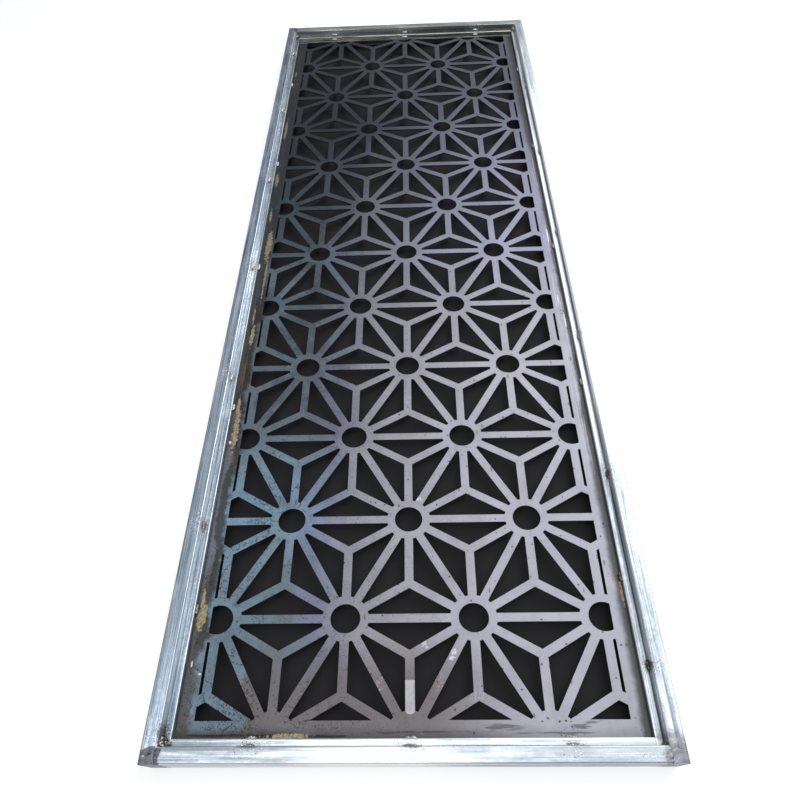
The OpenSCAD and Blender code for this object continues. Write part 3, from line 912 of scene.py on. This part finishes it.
def growMesh(piece, tree, values):
    grown = piece.modifiers.new(tree.name, "NODES")
    grown.node_group = tree
    for item in tree.interface.items_tree:
        if item.in_out == "INPUT" and item.name in values:
            grown[item.identifier] = values[item.name]
    ready = piece.evaluated_get(bpy.context.evaluated_depsgraph_get())
    mesh = bpy.data.meshes.new_from_object(ready)
    piece.modifiers.remove(grown)
    old = piece.data
    piece.data = mesh
    bpy.data.meshes.remove(old)
    mesh.name = piece.name


def spotsObject(name, spots):
    mesh = bpy.data.meshes.new(name + "Spots")
    mesh.from_pydata([s["place"] for s in spots], [], [])
    for title in ("turn", "size"):
        values = mesh.attributes.new(title, "FLOAT_VECTOR", "POINT").data
        values.foreach_set("vector", [c for s in spots for c in s[title]])
    piece = bpy.data.objects.new(name, mesh)
    scene.collection.objects.link(piece)
    return piece


def spotValue(tree, title):
    return take(tree, "GeometryNodeInputNamedAttribute", {"Name": title}, data_type="FLOAT_VECTOR")


def smoothMetal(mesh, metal):
    smooth = take(mesh.tree, "GeometryNodeSetShadeSmooth", {0: mesh})
    return take(mesh.tree, "GeometryNodeSetMaterial", {"Geometry": smooth, "Material": metal})


def rippledWeldTree():
    tree, given, result = startTree("rippledWeld", [
        ("Ripples", "Float"), ("Ripple Depth", "Float"), ("Lumps", "Float"), ("Seed", "Int"),
        ("Metal", "Material"), ("Ground Metal", "Material"), ("Ground Thickness", "Float"),
    ])
    ball = take(tree, "GeometryNodeMeshUVSphere", {"Segments": 22, "Rings": 40, "Radius": 1.0}, "Mesh")
    x, y, z = split(take(tree, "GeometryNodeInputPosition"))
    # each ripple is a crescent, bent back towards its edges
    phase = ((x * x + y * y) * 0.35 + z) * (given["Ripples"] * math.pi)
    grow = 1.0 + calc("SINE", phase) * given["Ripple Depth"]
    blunt = z * (1.28 - z * z * 0.28)
    shaped = join(x * grow, blunt, y * grow)
    rippled = take(tree, "GeometryNodeSetPosition", {"Geometry": ball, "Position": shaped})
    size = spotValue(tree, "size")
    wobble = take(tree, "FunctionNodeRandomValue", {
        0: (0.88, 0.85, 0.88), 1: (1.08, 1.12, 1.08), "Seed": given["Seed"]}, data_type="FLOAT_VECTOR")
    turned = take(tree, "FunctionNodeEulerToRotation", {0: spotValue(tree, "turn")})
    placed = take(tree, "GeometryNodeInstanceOnPoints", {
        "Points": given["Geometry"], "Instance": rippled, "Rotation": turned, "Scale": size * wobble})
    real = take(tree, "GeometryNodeRealizeInstances", {0: placed})
    bumps = jitter(take(tree, "GeometryNodeInputPosition"), 330.0, 2.0)
    push = take(tree, "ShaderNodeVectorMath", {0: bumps, "Scale": given["Lumps"]}, operation="SCALE")
    lumpy = take(tree, "GeometryNodeSetPosition", {"Geometry": real, "Offset": push})
    # the flattest welds are the ones ground flush
    thin = split(size)[2] < given["Ground Thickness"]
    feed(result, {0: take(tree, "GeometryNodeSetMaterial", {
        "Geometry": smoothMetal(lumpy, given["Metal"]), "Selection": thin,
        "Material": given["Ground Metal"]})})
    return tree


tackShape = {
    "half": (0.003, 0.0088, 0.0026),
    "inset": 0.0008,
    "seed": 3,
    "inputs": {"Ripples": 7.0, "Ripple Depth": 0.07, "Lumps": 0.0011},
}


def sideTacks(centres, inward):
    half = Vector(tackShape["half"])
    lean = Vector(inward) * tackShape["inset"] - Vector((0, 0, tackShape["inset"]))
    turn = (0.0, 0.0, 0.0 if inward[1] == 0 else math.pi / 2)
    return [{"place": c - lean, "turn": turn, "size": half} for c in centres]


def finishWeld(piece, *nodeNames):
    for name in nodeNames:
        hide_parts(name)
    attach(piece, "root")


weldTree = rippledWeldTree()
inwards = {"left": (1, 0, 0), "right": (-1, 0, 0), "bottom": (0, 1, 0), "top": (0, -1, 0)}
for number, (nodeName, centres) in enumerate(sorted(tacks.items())):
    family, _, where = nodeName.split("_")
    piece = spotsObject(family + "Tacks" + where.capitalize(), sideTacks(centres, inwards[where]))
    growMesh(piece, weldTree, {**tackShape["inputs"], "Seed": tackShape["seed"] + number,
                               "Metal": tackMetal if where == "right" else paleTackMetal})
    finishWeld(piece, nodeName)
print("tack welds made")

cornerShape = {
    "uprightHalf": (0.0032, 1.0, 0.0032),
    "uprightInset": 0.0014,
    # the lump at each corner: balls with how far each sits inside the corner, and its half sizes
    "lumps": {
        "bottom left": [
            ((0.002, 0.003, 0.0062), (0.0112, 0.0128, 0.0082)),
            ((0.0062, 0.003, 0.004), (0.0045, 0.005, 0.0045)),
            ((0.001, 0.0072, 0.003), (0.0042, 0.005, 0.0042)),
            ((0.003, -0.0045, 0.0135), (0.0075, 0.005, 0.002)),
            ((-0.0095, -0.01, 0.0155), (0.0034, 0.0028, 0.001)),
        ],
        "bottom right": [((0.0012, 0.0012, 0.001), (0.0034, 0.004, 0.0026))],
        "top left": [
            ((0.003, 0.003, 0.002), (0.0056, 0.0062, 0.0042)),
            ((0.0, 0.006, 0.001), (0.0032, 0.004, 0.003)),
        ],
        "top right": [
            ((0.003, 0.003, 0.002), (0.006, 0.0056, 0.0044)),
            ((0.006, 0.0, 0.001), (0.004, 0.0032, 0.003)),
        ],
    },
    "lumpTurn": 0.7,
    "flushHalf": (0.0038, 0.0112, 0.0007),
    "seed": 41,
    "inputs": {"Ripples": 6.0, "Ripple Depth": 0.09, "Lumps": 0.0026},
}


def cornerSpots(side, end, look, corner):
    jointX, jointY = screen["jointX"] * side, screen["jointY"] * end
    inset = look["uprightInset"]
    spots = []
    # upright welds in front of the bead and behind it
    for low, high in ((screen["beadFront"] - 0.001, screen["front"] - 0.002),
                      (0.002, screen["beadBack"] + 0.001)):
        place = Vector((jointX - side * inset, jointY - end * inset, (low + high) / 2))
        size = Vector(look["uprightHalf"])
        size.y = (high - low) / 2
        spots.append({"place": place, "turn": (math.pi / 2, 0, 0), "size": size})
    for (inX, inY, rise), size in look["lumps"][corner]:
        place = Vector((jointX - side * inX, jointY - end * inY, screen["beadFront"] + rise))
        spots.append({"place": place, "turn": (0, 0, side * end * look["lumpTurn"]), "size": size})
    middle = (screen["jointY"] + screen["endY"]) / 2 * end
    for z in (screen["front"] - 0.0004, 0.0006):
        spots.append({"place": Vector((jointX, middle, z)), "turn": (0, 0, 0), "size": look["flushHalf"]})
    return spots


for number, corner in enumerate(cornerShape["lumps"]):
    endName, sideName = corner.split()
    side, end = -inwards[sideName][0], -inwards[endName][1]
    piece = spotsObject("cornerWeld" + endName.capitalize() + sideName.capitalize(),
                        cornerSpots(side, end, cornerShape, corner))
    growMesh(piece, weldTree, {**cornerShape["inputs"], "Seed": cornerShape["seed"] + number,
                               "Metal": cornerMetal, "Ground Metal": groundSteel,
                               "Ground Thickness": cornerShape["flushHalf"][2] * 1.2})
    finishWeld(piece, "corner_weld_" + endName + "_" + sideName)
print("corner welds made")

# ---- spatter

spatterLook = {
    "seed": 11,
    "inputs": {"Amount": 16, "Least Radius": 0.00025, "Most Radius": 0.0008, "Flatness": 0.7},
    # how far drops reach from a tack, across and along its edge
    "besideSheetTack": (0.009, 0.022), "besideEndSheetTack": (0.007, 0.022),
    "besideBeadTack": (0.0075, 0.02), "onBead": (0.0025, 0.018),
}


def spatterTree():
    tree, given, result = startTree("spatterDrops", [
        ("Amount", "Int"), ("Least Radius", "Float"), ("Most Radius", "Float"), ("Flatness", "Float"),
        ("Seed", "Int"), ("Metal", "Material"),
    ])
    copies = take(tree, "GeometryNodeDuplicateElements", {
        "Geometry": given["Geometry"], "Amount": given["Amount"]}, domain="POINT")
    flung = take(tree, "FunctionNodeRandomValue", {
        0: (-1.0, -1.0, 0.0), 1: (1.0, 1.0, 0.0), "Seed": given["Seed"]}, data_type="FLOAT_VECTOR")
    spread = take(tree, "GeometryNodeSetPosition", {
        "Geometry": copies, "Offset": flung * spotValue(tree, "size")})
    radius = take(tree, "FunctionNodeRandomValue", {
        2: given["Least Radius"], 3: given["Most Radius"], "Seed": given["Seed"] + 1.0}, 1,
        data_type="FLOAT")
    drop = take(tree, "GeometryNodeMeshIcoSphere", {"Radius": 1.0, "Subdivisions": 2})
    placed = take(tree, "GeometryNodeInstanceOnPoints", {
        "Points": spread, "Instance": drop, "Scale": join(radius, radius, radius * given["Flatness"])})
    real = take(tree, "GeometryNodeRealizeInstances", {0: placed})
    feed(result, {0: smoothMetal(real, given["Metal"])})
    return tree


# the place where drops fall round a spot, and how far they reach from it in x and y
def zone(spot, z, reach):
    return {"place": (spot[0], spot[1], z), "turn": (0, 0, 0), "size": (*reach, 0.0)}


sheetZones, frameZones = [], []
for nodeName, centres in tacks.items():
    family, _, where = nodeName.split("_")
    step = Vector(inwards[where])
    onSide = step.y == 0
    order = 1 if onSide else -1  # at an end, along is in x
    if family == "sheet":
        reach = spatterLook["besideSheetTack" if onSide else "besideEndSheetTack"][::order]
        sheetZones += [zone(c + step * 0.0105, screen["sheetFront"], reach) for c in centres]
    else:
        for c in centres:
            frameZones += [
                zone(c - step * 0.013, screen["front"], spatterLook["besideBeadTack"][::order]),
                zone(c + step * 0.003, screen["beadFront"], spatterLook["onBead"][::order])]
for side in (-1, 1):
    for end in (-1, 1):
        bead = (side * (screen["beadX"] - 0.013), end * (screen["beadY"] - 0.009))
        stile = (side * (screen["jointX"] + 0.0125), end * (screen["jointY"] - 0.016))
        rail = (side * (screen["jointX"] - 0.022), end * (screen["jointY"] + 0.0125))
        sheetZones.append(zone(bead, screen["sheetFront"], (0.011, 0.008)))
        frameZones.append(zone(stile, screen["front"], (0.008, 0.022)))
        frameZones.append(zone(rail, screen["front"], (0.018, 0.008)))

dropTree = spatterTree()
drops = {"spatterOnSheet": sheetZones, "spatterOnFrame": frameZones}
for number, (name, zones) in enumerate(drops.items()):
    piece = spotsObject(name, zones)
    growMesh(piece, dropTree, {**spatterLook["inputs"], "Seed": spatterLook["seed"] + number,
                               "Metal": tackMetal})
    finishWeld(piece)
print("spatter made")
